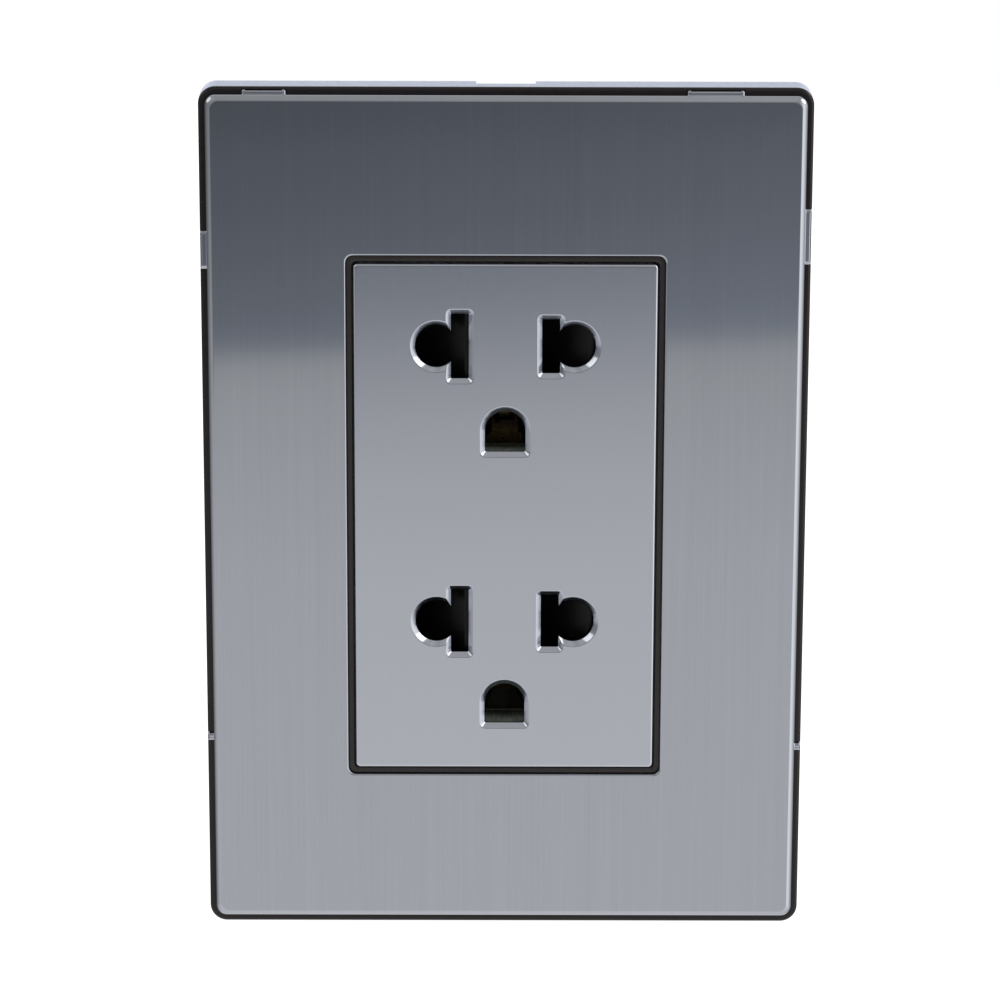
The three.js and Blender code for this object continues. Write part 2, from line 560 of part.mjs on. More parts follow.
function sideBus(side) {
  const s = union(
    box(7.0, 12.4, BUS_FRONT, BUS_BACK, BLADE_Z[1] - 4.0, BLADE_Z[0] + 4.0),
    box(12.0, BUS_TAB_X1, BUS_FRONT, BUS_BACK, -6.4, 15.4),
    box(BUS_TAB_X0, BUS_TAB_X1, BUS_TAB_FRONT, BUS_BACK, -6.4, 15.4));
  return onSide(side, cut(
    s,
    TERM_Z.map((z) => rod("x", BUS_SCREW_R, 15, 19, TERM_Y, z)),
    BLADE_Z.map((z) => rod("y", RIVET_HOLE_R, 13, 15, PIN_X, z, 12))));
}
function earthBus() {
  const [upperZ, lowerZ] = BLADE_Z.map((z) => z + EARTH_DZ);
  const s = union(
    box(-2.6, 2.6, BUS_FRONT, BUS_BACK, lowerZ - 3.2, upperZ + 3.2),
    box(-BUS_TAB_X1, 2.6, BUS_FRONT, BUS_BACK, -28.0, -23.0),
    box(-BUS_TAB_X1, -BUS_TAB_X0, BUS_TAB_FRONT, BUS_BACK, -28.4, -20.6));
  return cut(
    s,
    rod("x", BUS_SCREW_R, -19, -15, TERM_Y, EARTH_TERM_Z),
    [upperZ, lowerZ].map((z) => rod("y", RIVET_HOLE_R, 13, 15, 0, z, 12)));
}

BLADE_Z.forEach((z, i) => {
  const name = ["upper", "lower"][i];
  const earthZ = z + EARTH_DZ;
  const { bronze, brass } = MATERIALS;
  addMesh("contacts", "neutral_contact_" + name, hybridClip(-1), bronze, [0, 0, z]);
  addMesh("contacts", "line_contact_" + name, hybridClip(1), bronze, [0, 0, z]);
  addMesh("contacts", "earth_contact_" + name, earthClip(), bronze, [0, 0, earthZ]);
  addMesh("contacts", "neutral_rivet_" + name, rivet(), brass, [-PIN_X, 0, z]);
  addMesh("contacts", "line_rivet_" + name, rivet(), brass, [PIN_X, 0, z]);
  addMesh("contacts", "earth_rivet_" + name, rivet(), brass, [0, 0, earthZ]);
});
addMesh("contacts", "neutral_busbar", sideBus(-1), MATERIALS.brass);
addMesh("contacts", "line_busbar", sideBus(1), MATERIALS.brass);
addMesh("contacts", "earth_busbar", earthBus(), MATERIALS.brass);

// ---------------------------------------------------------------- terminals
// A clamp plate beside each terminal's busbar tab, with two V grooves in its inner face.
function clampPlate(side) {
  const grooves = [-2.6, 2.6].map((z) =>
    prism("y", poly([[17.6, z - 1.2], [18.15, z], [17.6, z + 1.2]]), 7, 16));
  const plate = box(17.75, 18.65, 8.1, 14.5, -4.0, 4.0);
  return onSide(side, cut(plate, grooves, rod("x", 1.9, 17, 20, TERM_Y, 0)));
}
const TERMINAL_SCREW = { headR: 3.2, headT: 1.9, shankR: 1.65, length: 6.6 };
for (const [name, side, z, material] of TERMINALS) {
  const screw = panScrew("x", TERMINAL_SCREW, { seat: 18.75, flip: true, across: TERM_Y });
  addMesh("terminals", "clamp_plate_" + name, clampPlate(side), MATERIALS.steel, [0, 0, z]);
  addMesh("terminals", "terminal_screw_" + name, onSide(side, screw), material, [0, 0, z]);
}

export default outlet;
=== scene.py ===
"""Duplex wall outlet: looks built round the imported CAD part.

Lengths are millimetres in the row frame: +X right, +Y into the wall, +Z up, with the front of
the socket face at Y = 0. Meshes, object places and shader coordinates are in metres.
"""

import math
import random
from functools import partial

import bmesh
import bpy
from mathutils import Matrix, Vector
from mathutils.geometry import tessellate_polygon


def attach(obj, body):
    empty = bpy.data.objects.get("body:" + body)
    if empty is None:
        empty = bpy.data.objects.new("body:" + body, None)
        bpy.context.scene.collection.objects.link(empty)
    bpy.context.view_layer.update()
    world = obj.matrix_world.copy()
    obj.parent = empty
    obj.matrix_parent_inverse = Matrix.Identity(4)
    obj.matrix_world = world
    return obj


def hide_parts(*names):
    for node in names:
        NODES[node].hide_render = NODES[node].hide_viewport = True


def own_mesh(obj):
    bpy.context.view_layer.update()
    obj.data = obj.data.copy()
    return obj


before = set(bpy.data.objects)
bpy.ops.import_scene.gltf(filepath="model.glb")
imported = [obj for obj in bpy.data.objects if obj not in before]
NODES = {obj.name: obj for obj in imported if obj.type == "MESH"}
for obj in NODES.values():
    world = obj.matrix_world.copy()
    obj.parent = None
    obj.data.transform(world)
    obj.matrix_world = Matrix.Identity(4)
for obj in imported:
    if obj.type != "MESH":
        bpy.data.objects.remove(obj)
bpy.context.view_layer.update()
random.seed(7)

MM = 0.001  # metres in a millimetre
WALL_Y = 8.8  # the wall surface

# brushed skin: a sheet with a rounded-corner opening
SKIN_W, SKIN_H, SKIN_R = 82.7, 117.0, 1.5
SKIN_FRONT, SKIN_THICK = 0.2, 0.9
OPEN_W, OPEN_H, OPEN_R = 44.2, 73.8, 1.0
# its tabs: side, centre along the side, length
TABS = (
    ("left", 37.2, 5.2), ("left", -32.1, 1.0), ("right", 39.2, 7.6),
    ("right", -33.4, 1.0), ("top", -33.2, 6.0), ("top", 28.75, 7.8),
)

# socket face and the apertures in it
MODULE_Z = -0.4  # centre height of the face and of the opening round it
FACE_W, FACE_H = 42.17, 71.7
FLANGE_W, FLANGE_H = 42.9, 72.4
SOCKET_Z = (24.0, -15.0)  # upper and lower socket
SLOT_IN, SLOT_OUT = 5.13, 7.55  # blade slot edges, from the centre line
SLOT_HALF_LEFT, SLOT_HALF_RIGHT = 4.48, 3.73  # half heights
PIN_X, PIN_R = 9.62, 2.9  # arc bulging from the slot's outer edge
EARTH_DZ, EARTH_R, EARTH_DROP = -11.9, 2.8, 2.9  # arch centre, radius, flat edge below centre
POST_X, POST_DZ = 16.8, 32.0  # the four corner posts, from the module centre

# carrier behind the skin
PLATE_W, PLATE_H, PLATE_R = 84.6, 119.2, 2.4
PLATE_WALL = 1.8
DRAFT, DRAFT_HEIGHT = 0.6, 6.95  # outward lean of the sides over their height
LIP_W, LIP_H = 42.6, 72.15
LEDGE_W, LEDGE_H = 42.45, 72.0


# ------------------------------------------------------------------ node materials
MATS = {}  # every material by name


def rgb(r, g, b):
    return (r, g, b, 1.0)


class Graph:
    """Adds nodes to a node tree. Inputs may be plain values or sockets to link."""

    def __init__(self, tree):
        self.tree = tree

    def new(self, kind, inputs=None, **props):
        node = self.tree.nodes.new(kind)
        for key, value in props.items():
            setattr(node, key, value)
        for key, value in (inputs or {}).items():
            self.put(node.inputs[key], value)
        return node

    def put(self, socket, value):
        if isinstance(value, bpy.types.NodeSocket):
            self.tree.links.new(value, socket)
        else:
            socket.default_value = value

    def calc(self, operation, a, b=0.0):
        return self.new("ShaderNodeMath", {0: a, 1: b}, operation=operation).outputs[0]

    def plus(self, a, b):
        return self.calc("ADD", a, b)

    def times(self, a, b):
        return self.calc("MULTIPLY", a, b)

    def vector_times(self, a, b):
        node = self.new("ShaderNodeVectorMath", {0: a, 1: b}, operation="MULTIPLY")
        return node.outputs[0]

    def combine(self, x, y, z):
        return self.new("ShaderNodeCombineXYZ", {0: x, 1: y, 2: z}).outputs[0]

    def separate(self, vector):
        return self.new("ShaderNodeSeparateXYZ", {0: vector}).outputs

    def span(self, value, low=0.3, high=0.7, to=(0.0, 1.0), **props):
        """Maps low..high to the range in to."""
        ins = {"Value": value, "From Min": low, "From Max": high, "To Min": to[0], "To Max": to[1]}
        return self.new("ShaderNodeMapRange", ins, **props).outputs["Result"]

    def mix(self, amount, a, b):
        node = self.new("ShaderNodeMix", data_type="RGBA")
        for index, value in ((0, amount), (6, a), (7, b)):
            self.put(node.inputs[index], value)
        return node.outputs[2]


class Mat(Graph):
    """A node material round a Principled BSDF, patterned in object coordinates."""

    def __init__(self, name):
        self.material = bpy.data.materials.new(name)
        self.material.use_nodes = True
        MATS[name] = self.material
        super().__init__(self.material.node_tree)
        self.shader = self.tree.nodes["Principled BSDF"]
        self.coords = self.new("ShaderNodeTexCoord").outputs["Object"]
        self.normal = None

    def set(self, **inputs):
        for key, value in inputs.items():
            self.put(self.shader.inputs[key.replace("_", " ")], value)

    def scaled(self, cycles):
        """Coordinates for a pattern with these cycles per millimetre: one number or X, Y, Z."""
        if not isinstance(cycles, tuple):
            cycles = (cycles,) * 3
        return self.vector_times(self.coords, tuple(1000 * c for c in cycles))

    def noise(self, cycles, detail=2, rough=0.5, distort=0.0):
        ins = {"Vector": self.scaled(cycles), "Scale": 1.0, "Detail": detail}
        ins.update({"Roughness": rough, "Distortion": distort})
        return self.new("ShaderNodeTexNoise", ins).outputs["Fac"]

    def cells(self, cycles):
        """One random value for each Voronoi cell."""
        ins = {"Vector": self.scaled(cycles), "Scale": 1.0}
        colour = self.new("ShaderNodeTexVoronoi", ins).outputs["Color"]
        return self.new("ShaderNodeSeparateColor", {"Color": colour}).outputs[0]

    def weigh(self, first, second):
        """Sum of two (value, weight) pairs."""
        return self.plus(self.times(*first), self.times(*second))

    def tint(self, colour, towards, mask, strength):
        return self.mix(self.times(mask, strength), colour, towards)

    def chain_normal(self, node):
        self.normal = node.outputs["Normal"]
        self.put(self.shader.inputs["Normal"], self.normal)

    def bump(self, height, depth, strength):
        """Adds relief, depth in millimetres, on top of any earlier normal."""
        ins = {"Height": height, "Strength": strength, "Distance": depth * MM}
        if self.normal is not None:
            ins["Normal"] = self.normal
        self.chain_normal(self.new("ShaderNodeBump", ins))

    def soften(self, radius):
        """Rounds sharp edges in the shading."""
        self.chain_normal(self.new("ShaderNodeBevel", {"Radius": radius * MM}, samples=4))


def brushed_skin():
    """Metal brushed up and down."""
    m = Mat("brushed_skin")
    fine = m.noise((9.0, 9.0, 0.035), detail=4, rough=0.6)
    broad = m.noise((0.75, 0.75, 0.010), detail=3, rough=0.6)
    cloud = m.noise((0.03, 0.03, 0.02))
    scratch = m.span(m.noise((14.0, 14.0, 0.09)), low=0.70, high=0.76)
    tone = m.span(m.weigh((fine, 0.6), (broad, 0.4)))
    colour = m.mix(tone, rgb(0.515, 0.543, 0.594), rgb(0.575, 0.603, 0.652))
    colour = m.tint(colour, rgb(0.585, 0.60, 0.64), mask=cloud, strength=0.25)
    colour = m.tint(colour, rgb(0.70, 0.72, 0.75), mask=scratch, strength=0.35)
    m.set(Base_Color=colour, Metallic=1.0, Anisotropic=1.0, IOR=1.5,
          Roughness=m.span(m.plus(fine, cloud), low=0.6, high=1.4, to=(0.055, 0.085)),
          Tangent=m.combine(1.0, 0.0, 0.0))
    m.bump(m.noise((5.0, 5.0, 0.02)), depth=0.0016, strength=0.5)


def dark_rim():
    """Dark plastic; the lip round the module is painted a little lighter, a painted reflection of
    light caught in the groove.
    """
    painted_lit_lip_margin = 0.2  # reach of the painted lighter zone beyond the opening
    m = Mat("dark_rim")
    speck = m.noise(0.8, detail=4, rough=0.6)
    wave = m.noise(0.12)
    axes = m.separate(m.coords)
    off_x = m.calc("ABSOLUTE", axes[0])
    off_z = m.calc("ABSOLUTE", m.plus(axes[2], -MODULE_Z * MM))
    painted_lit_lip_mask = m.times(m.calc("LESS_THAN", off_x, (OPEN_W / 2 + painted_lit_lip_margin) * MM),
                   m.calc("LESS_THAN", off_z, (OPEN_H / 2 + painted_lit_lip_margin) * MM))
    body = m.mix(speck, rgb(0.019, 0.0150, 0.0165), rgb(0.027, 0.0215, 0.0225))
    # painted light: the lip is coloured lighter than the same plastic elsewhere, standing for light
    # reflected in the groove
    lip = m.mix(speck, rgb(0.045, 0.0375, 0.037), rgb(0.060, 0.0505, 0.049))
    m.set(Base_Color=m.mix(painted_lit_lip_mask, body, lip), IOR=1.5, Specular_IOR_Level=0.3,
          Roughness=m.span(speck, to=(0.11, 0.2)), Coat_Weight=0.06, Coat_Roughness=0.06)
    m.bump(wave, depth=0.02, strength=0.35)
    m.bump(speck, depth=0.0012, strength=0.5)


def silver_face():
    """Silver with fine flakes, faint upright streaks and hairlines."""
    m = Mat("silver_face")
    flake = m.cells(16.0)
    cloud = m.noise(0.06, detail=3)
    streak = m.noise((5.0, 5.0, 0.06), detail=3, rough=0.6)
    hair = m.span(m.noise((10.0, 10.0, 0.12)), low=0.70, high=0.75)
    tone = m.weigh((flake, 0.55), (streak, 0.45))
    colour = m.mix(tone, rgb(0.610, 0.635, 0.695), rgb(0.684, 0.713, 0.780))
    colour = m.tint(colour, rgb(0.67, 0.698, 0.766), mask=cloud, strength=0.3)
    colour = m.tint(colour, rgb(0.74, 0.75, 0.77), mask=hair, strength=0.22)
    base = m.span(flake, low=0.0, high=1.0, to=(0.10, 0.15))
    m.set(Base_Color=colour, Metallic=1.0, IOR=1.5, Roughness=m.plus(base, m.times(streak, 0.02)))
    m.bump(m.noise(4.5), depth=0.0005, strength=0.5)
    m.bump(streak, depth=0.0006, strength=0.5)


def black_plastic():
    """Black moulding; the earth tunnels, up the middle, are painted a dull grey, a painted
    reflection of light from above.
    """
    tunnel_half = 3.8
    m = Mat("black_plastic")
    m.soften(radius=0.1)
    pits = m.noise(1.4, detail=4, rough=0.62)
    fine = m.noise(7.0)
    reflection_streaks = m.noise((3.0, 0.25, 3.0), detail=3, rough=0.6)
    off_x = m.calc("ABSOLUTE", m.separate(m.coords)[0])
    tunnel = m.calc("LESS_THAN", off_x, tunnel_half * MM)
    black = m.mix(m.span(pits), rgb(0.0045, 0.0045, 0.0052), rgb(0.0065, 0.0065, 0.0072))
    # painted reflection: a grey band standing for light from above caught in the earth tunnels
    painted_tunnel_reflection = m.mix(m.span(reflection_streaks, low=0.35, high=0.65), rgb(0.17, 0.185, 0.165), rgb(0.28, 0.305, 0.275))
    m.set(Base_Color=m.mix(tunnel, black, painted_tunnel_reflection), IOR=1.5, Specular_IOR_Level=0.35,
          Roughness=m.span(pits, to=(0.3, 0.44)))
    m.bump(pits, depth=0.006, strength=0.7)
    m.bump(fine, depth=0.0015, strength=0.5)


def moulded(name, dark, light, rough, grain, depth, soft, spec, pit_shade_strength=0.25):
    """Moulded plastic with a pitted grain, a little flow mottling, painted shade in the grain's
    pits and soft edges.
    """
    m = Mat(name)
    m.soften(soft)
    pits = m.noise(grain, detail=4, rough=0.62)
    fine = m.noise(grain * 5)
    flow = m.noise((0.05, 0.09, 0.04), detail=3, rough=0.55, distort=0.6)
    colour = m.mix(m.span(flow), dark, light)
    # painted shade: the low parts of the pitted grain are darkened
    shade = rgb(*(v * 0.8 for v in dark[:3]))
    colour = m.tint(colour, shade, mask=m.span(pits, low=0.62, high=0.4), strength=pit_shade_strength)
    m.set(Base_Color=colour, IOR=1.5, Specular_IOR_Level=spec, Roughness=m.span(pits, to=rough))
    m.bump(pits, depth, strength=0.7)
    m.bump(fine, depth * 0.25, strength=0.5)


def rolled(name, dark, light, rough, lines, stain):
    """Sheet metal: rolling lines (cycles along X, Y, Z), handling marks and a slight tarnish."""
    m = Mat(name)
    m.soften(radius=0.08)
    marks_cycles = tuple(3.5 * v for v in lines)
    lines = m.noise(lines, detail=4, rough=0.62)
    blotch = m.noise(0.22, detail=4, rough=0.6, distort=0.8)
    marks = m.span(m.noise(marks_cycles), low=0.66, high=0.74)
    colour = m.mix(m.span(lines), dark, light)
    colour = m.tint(colour, stain, mask=m.span(blotch, low=0.48, high=0.72), strength=0.55)
    bright = rgb(*(min(1.0, v * 1.35) for v in light[:3]))
    colour = m.tint(colour, bright, mask=marks, strength=0.3)
    m.set(Base_Color=colour, Metallic=1.0,
          Roughness=m.plus(m.span(blotch, to=rough), m.times(lines, 0.05)))
    m.bump(lines, depth=0.004, strength=0.6)


def plated(name, dark, light, rough, metal):
    """Plated steel: crystalline patches and a fine satin."""
    m = Mat(name)
    m.soften(radius=0.06)
    patch = m.cells(2.4)
    fine = m.noise(7.0, detail=3, rough=0.6)
    cloud = m.noise(0.3, detail=3, rough=0.55)
    base = m.span(patch, low=0.0, high=1.0, to=rough)
    m.set(Base_Color=m.mix(m.weigh((patch, 0.35), (cloud, 0.65)), dark, light), Metallic=metal,
          Roughness=m.plus(base, m.times(fine, 0.06)))
    m.bump(fine, depth=0.003, strength=0.6)


brushed_skin()
dark_rim()
silver_face()
black_plastic()
moulded("grid_plastic", rgb(0.040, 0.042, 0.046), rgb(0.052, 0.054, 0.058),
        rough=(0.42, 0.6), grain=1.0, depth=0.016, soft=0.18, spec=0.45)
moulded("housing_plastic", rgb(0.70, 0.67, 0.585), rgb(0.76, 0.735, 0.655),
        rough=(0.36, 0.5), grain=0.9, depth=0.012, soft=0.2, spec=0.45, pit_shade_strength=0.12)
moulded("nylon", rgb(0.72, 0.69, 0.58), rgb(0.80, 0.775, 0.69),
        rough=(0.4, 0.55), grain=1.6, depth=0.008, soft=0.1, spec=0.4, pit_shade_strength=0.15)
rolled("contact_bronze", rgb(0.30, 0.195, 0.115), rgb(0.40, 0.27, 0.165),
       rough=(0.24, 0.36), lines=(2.0, 0.08, 2.0), stain=rgb(0.18, 0.115, 0.07))
rolled("brass_strip", rgb(0.70, 0.485, 0.155), rgb(0.80, 0.58, 0.225),
       rough=(0.18, 0.3), lines=(2.2, 2.2, 0.07), stain=rgb(0.46, 0.29, 0.09))
plated("zinc_steel", rgb(0.50, 0.515, 0.53), rgb(0.66, 0.67, 0.68), rough=(0.2, 0.34), metal=1.0)
plated("earth_green", rgb(0.022, 0.17, 0.055), rgb(0.045, 0.27, 0.09),
       rough=(0.22, 0.36), metal=0.85)


# ------------------------------------------------------------------ mesh helpers
def add_object(name, data):
    o = bpy.data.objects.new(name, data)
    bpy.context.scene.collection.objects.link(o)
    return o


def smooth_shade(mesh):
    mesh.polygons.foreach_set("use_smooth", [True] * len(mesh.polygons))


def make(name, verts, faces, slot, body=None, stands_for=None, sharp=None):
    """A smooth-shaded piece from millimetres, riding on a CAD body if one is named."""
    mesh = bpy.data.meshes.new(name)
    mesh.from_pydata([(x * MM, y * MM, z * MM) for x, y, z in verts], [], faces)
    bm = bmesh.new()
    bm.from_mesh(mesh)
    bmesh.ops.remove_doubles(bm, verts=bm.verts, dist=1e-7)
    bmesh.ops.recalc_face_normals(bm, faces=bm.faces)
    bm.to_mesh(mesh)
    bm.free()
    smooth_shade(mesh)
    if sharp is not None:
        mesh.set_sharp_from_angle(angle=math.radians(sharp))
    mesh.materials.append(MATS[slot])
    o = add_object(name, mesh)
    if body:
        dress(o, body, stands_for)
    return o


def dress(o, body, stands_for=None):
    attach(o, body)
    if stands_for:
        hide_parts(stands_for)
    return o


def weight_normals(o):
    modifier = o.modifiers.new("normals", "WEIGHTED_NORMAL")
    modifier.weight = 80
    modifier.keep_sharp = True


def carve(o, tools, name):
    """The mesh of o with every tool cut away; o and the tools are removed."""
    for tool in tools:
        cut = o.modifiers.new("cut", "BOOLEAN")
        cut.operation = "DIFFERENCE"
        cut.object = tool
        cut.solver = "EXACT"
    graph = bpy.context.evaluated_depsgraph_get()
    mesh = bpy.data.meshes.new_from_object(
        o.evaluated_get(graph), preserve_all_data_layers=True, depsgraph=graph)
    mesh.name = name
    for used in tools + [o]:
        bpy.data.objects.remove(used, do_unlink=True)
    smooth_shade(mesh)
    return mesh


def band(count, a, b):
    """Quads between two closed rings of count points that start at indices a and b."""
    return [(a + i, a + (i + 1) % count, b + (i + 1) % count, b + i) for i in range(count)]


def sleeve(count, stations, first=0):
    """Faces through a run of equal rings, closed at both ends."""
    faces = []
    for j in range(stations - 1):
        faces += band(count, first + j * count, first + (j + 1) * count)
    last = first + (stations - 1) * count
    return faces + [tuple(range(first, first + count)), tuple(range(last, last + count))]


def arc(cx, cz, r, start, end, steps):
    angles = [math.radians(start + (end - start) * i / steps) for i in range(steps + 1)]
    return [(cx + r * math.cos(a), cz + r * math.sin(a)) for a in angles]


def rounded(w, h, r, cx=0.0, cz=0.0, steps=12):
    """Rectangle with rounded corners, as (x, z) points from the lower right."""
    points = []
    for sx, sz, start in ((1, -1, -90), (1, 1, 0), (-1, 1, 90), (-1, -1, 180)):
        points += arc(cx + sx * (w / 2 - r), cz + sz * (h / 2 - r), r, start, start + 90, steps)
    return points


def quarter(steps):
    """Angles from 0 to 90 degrees, in radians."""
    return [math.pi / 2 * i / steps for i in range(steps + 1)]


class Shell:
    """Collects rings of points across Y, the walls between them and flat faces with holes."""

    def __init__(self):
        self.verts, self.faces = [], []

    def ring(self, y, points):
        first = len(self.verts)
        self.verts += [(x, y, z) for x, z in points]
        return first, len(points)

    def stepped(self, steps, origin=0.0, corner_steps=12):
        """Rings from (width, height, centre z, rows), rows being (y, size change, radius)."""
        return [
            self.ring(origin + y, rounded(w + change, h + change, r, 0, cz, corner_steps))
            for w, h, cz, rows in steps for y, change, r in rows
        ]

    def wall(self, *rings):
        for (a, count), (b, _) in zip(rings, rings[1:]):
            self.faces += band(count, a, b)

    def flat(self, *rings):
        """A flat face inside the first ring, with the other rings as holes."""
        runs = [range(a, a + count) for a, count in rings]
        index = [i for run in runs for i in run]
        polygons = [[Vector((self.verts[i][0], self.verts[i][2], 0)) for i in run] for run in runs]
        for triangle in tessellate_polygon(polygons):
            self.faces.append(tuple(index[i] for i in triangle))

    def box(self, x0, x1, y0, y1, z0, z1, r=0.15, steps=3):
        """A box with every edge rounded by about r."""
        ease = [(r * (1 - math.sin(a)), r * (1 - math.cos(a))) for a in quarter(steps)]
        stations = [(inset, y0 + d) for inset, d in ease]
        stations += [(inset, y1 - d) for inset, d in reversed(ease)]
        w, h, cx, cz = x1 - x0, z1 - z0, (x0 + x1) / 2, (z0 + z1) / 2
        rings = [
            self.ring(y, rounded(w - 2 * inset, h - 2 * inset, r - inset * 0.6, cx, cz, 3))
            for inset, y in stations
        ]
        self.wall(*rings)
        self.flat(rings[0])
        self.flat(rings[-1])

    def post(self, cx, cz, radius, bore, y0, y1, floor):
        """A round post, closed at y0, with a bore from y1 down to floor."""
        count, edge = 32, 0.15
        profile = ((y0, radius), (y1 - edge, radius), (y1, radius - edge),
                   (y1, bore + edge), (y1 - edge, bore), (floor, bore))
        rings = [self.ring(y, arc(cx, cz, r, 0, 360 - 360 / count, count - 1)) for y, r in profile]
        self.wall(*rings)
        self.flat(rings[0])
        self.flat(rings[-1])


# ------------------------------------------------------------------ brushed skin
# rolled outer edge: (in from the side, back from the front)
SKIN_ROLL = (
    (0.0, 0.80), (0.03, 0.70), (0.08, 0.60), (0.15, 0.50), (0.25, 0.385), (0.36, 0.28),
    (0.47, 0.195), (0.58, 0.12), (0.69, 0.06), (0.80, 0.02), (0.92, 0.0),
)
# broken edge round the opening: (out from the opening, back from the front)
OPENING_EDGE = (
    (0.30, 0.0), (0.22, 0.0), (0.20, 0.007), (0.155, 0.027), (0.09, 0.075), (0.03, 0.16),
    (0.0, 0.28),
)


def build_skin():
    s = Shell()
    back = SKIN_FRONT + SKIN_THICK
    rings = [s.ring(back, rounded(SKIN_W - 0.1, SKIN_H - 0.1, SKIN_R)),
             s.ring(back - 0.06, rounded(SKIN_W, SKIN_H, SKIN_R))]
    for inset, y in SKIN_ROLL:
        outline = rounded(SKIN_W - 2 * inset, SKIN_H - 2 * inset, SKIN_R - 0.45 * inset)
        rings.append(s.ring(SKIN_FRONT + y, outline))
    for grow, y in OPENING_EDGE:
        outline = rounded(OPEN_W + 2 * grow, OPEN_H + 2 * grow, OPEN_R + 0.7 * grow, 0, MODULE_Z)
        rings.append(s.ring(SKIN_FRONT + y, outline))
    rings.append(s.ring(back, rounded(OPEN_W, OPEN_H, OPEN_R, 0, MODULE_Z)))
    s.wall(*rings, rings[0])
    for side, centre, length in TABS:
        fold_tab(s, side, centre, length)
    weight_normals(
        make("skin_sheet", s.verts, s.faces, "brushed_skin", "cover", "faceplate_skin", sharp=50))


def fold_tab(s, side, centre, length):
    """A tab that leaves the skin's edge, lies over the shoulder and runs back into its notch."""
    half = (SKIN_H if side == "top" else SKIN_W) / 2
    reach = 0.66 if side == "top" else 0.9
    # section, (out from the skin's edge, y): the outer surface, then the inner one
    section = [
        (-0.30, 0.58), (-0.14, 0.74), (-0.05, 0.86), (0.02, 0.925), (0.08, 0.945), (0.16, 0.95),
        (reach - 0.26, 0.95), (reach - 0.17, 0.965), (reach - 0.09, 1.01), (reach - 0.03, 1.09),
        (reach, 1.2), (reach, 1.5), (reach, 2.9), (reach - 0.04, 3.1), (reach - 0.14, 3.2),
        (0.44, 3.2), (0.28, 3.12), (0.22, 2.9), (0.22, 1.8), (0.16, 1.56), (0.0, 1.4),
        (-0.4, 1.36),
    ]
    r = min(0.45, length * 0.3)
    stations = [(-length / 2 + r * (1 - math.sin(a)), r * (1 - math.cos(a))) for a in quarter(4)]
    stations += [(-along, drop) for along, drop in reversed(stations)]
    first = len(s.verts)
    for along, drop in stations:
        k = drop / r
        for out, y in section:
            # the drop shifts sections back and closer in
            if out > 0:
                out -= 0.14 * k * out / 0.8
            y += 0.16 * k * (1.0 if y < 1.3 else 0.3) * (out > -0.2)
            p, q = half + out, centre + along
            s.verts.append({"right": (p, y, q), "left": (-p, y, q), "top": (q, y, p)}[side])
    s.faces += sleeve(len(section), len(stations), first)


# ------------------------------------------------------------------ socket face
FACE_ROUND = 0.36  # radius of the front edge
FACE_WALL_BACK = 1.0  # Y of the back of the front wall
# edge of each aperture, front to back: (grow, y)
APERTURE_EDGE = (
    (0.80, 0.0), (0.72, 0.0), (0.685, 0.012), (0.65, 0.045), (0.05, 0.605), (0.012, 0.65),
    (0.0, 0.70), (0.0, FACE_WALL_BACK - 0.06), (0.05, FACE_WALL_BACK),
)
# sides, flange, back rim and inside, as Shell.stepped takes them
FACE_STEPS = (
    (FACE_W, FACE_H, MODULE_Z, ((5.6, 0, 0.6),)),
    (FLANGE_W, FLANGE_H, MODULE_Z,
     ((5.6, -0.16, 0.6), (5.68, 0, 0.6), (6.32, 0, 0.6), (6.4, -0.16, 0.6))),
    (FACE_W, FACE_H, MODULE_Z,
     ((6.4, 0, 0.6), (9.7, 0, 0.6), (9.8, -0.2, 0.55), (9.8, -2.4, 0.65), (9.7, -2.6, 0.6),
      (FACE_WALL_BACK, -2.6, 0.6))),
)


def key_outline(side, z, grow):
    """Blade slot with an arc bulging from its outer edge; side is -1 left, 1 right."""
    half = (SLOT_HALF_LEFT if side < 0 else SLOT_HALF_RIGHT) + grow
    x0, x1, r = SLOT_IN - grow, SLOT_OUT + grow, PIN_R + grow
    rc = 0.16 + 0.82 * grow  # corner radius
    cut = math.sqrt(r * r - (PIN_X - x1) ** 2)  # half height where the arc meets the slot
    a = math.degrees(math.atan2(cut, x1 - PIN_X))
    points = arc(x0 + rc, -half + rc, rc, 180, 270, 6) + arc(x1 - rc, -half + rc, rc, 270, 360, 6)
    points += arc(PIN_X, 0, r, -a, a, 44)
    points += arc(x1 - rc, half - rc, rc, 0, 90, 6) + arc(x0 + rc, half - rc, rc, 90, 180, 6)
    points = [(x, z + dz) for x, dz in points]
    return points if side > 0 else [(-x, pz) for x, pz in reversed(points)]


def earth_outline(z, grow):
    """Arch with a flat lower edge."""
    cz, r, rc = z + EARTH_DZ, EARTH_R + grow, 0.22 + 0.82 * grow
    low = cz - EARTH_DROP - grow + rc
    points = arc(0, cz, r, 0, 180, 30)
    return points + arc(-r + rc, low, rc, 180, 270, 7) + arc(r - rc, low, rc, 270, 360, 7)


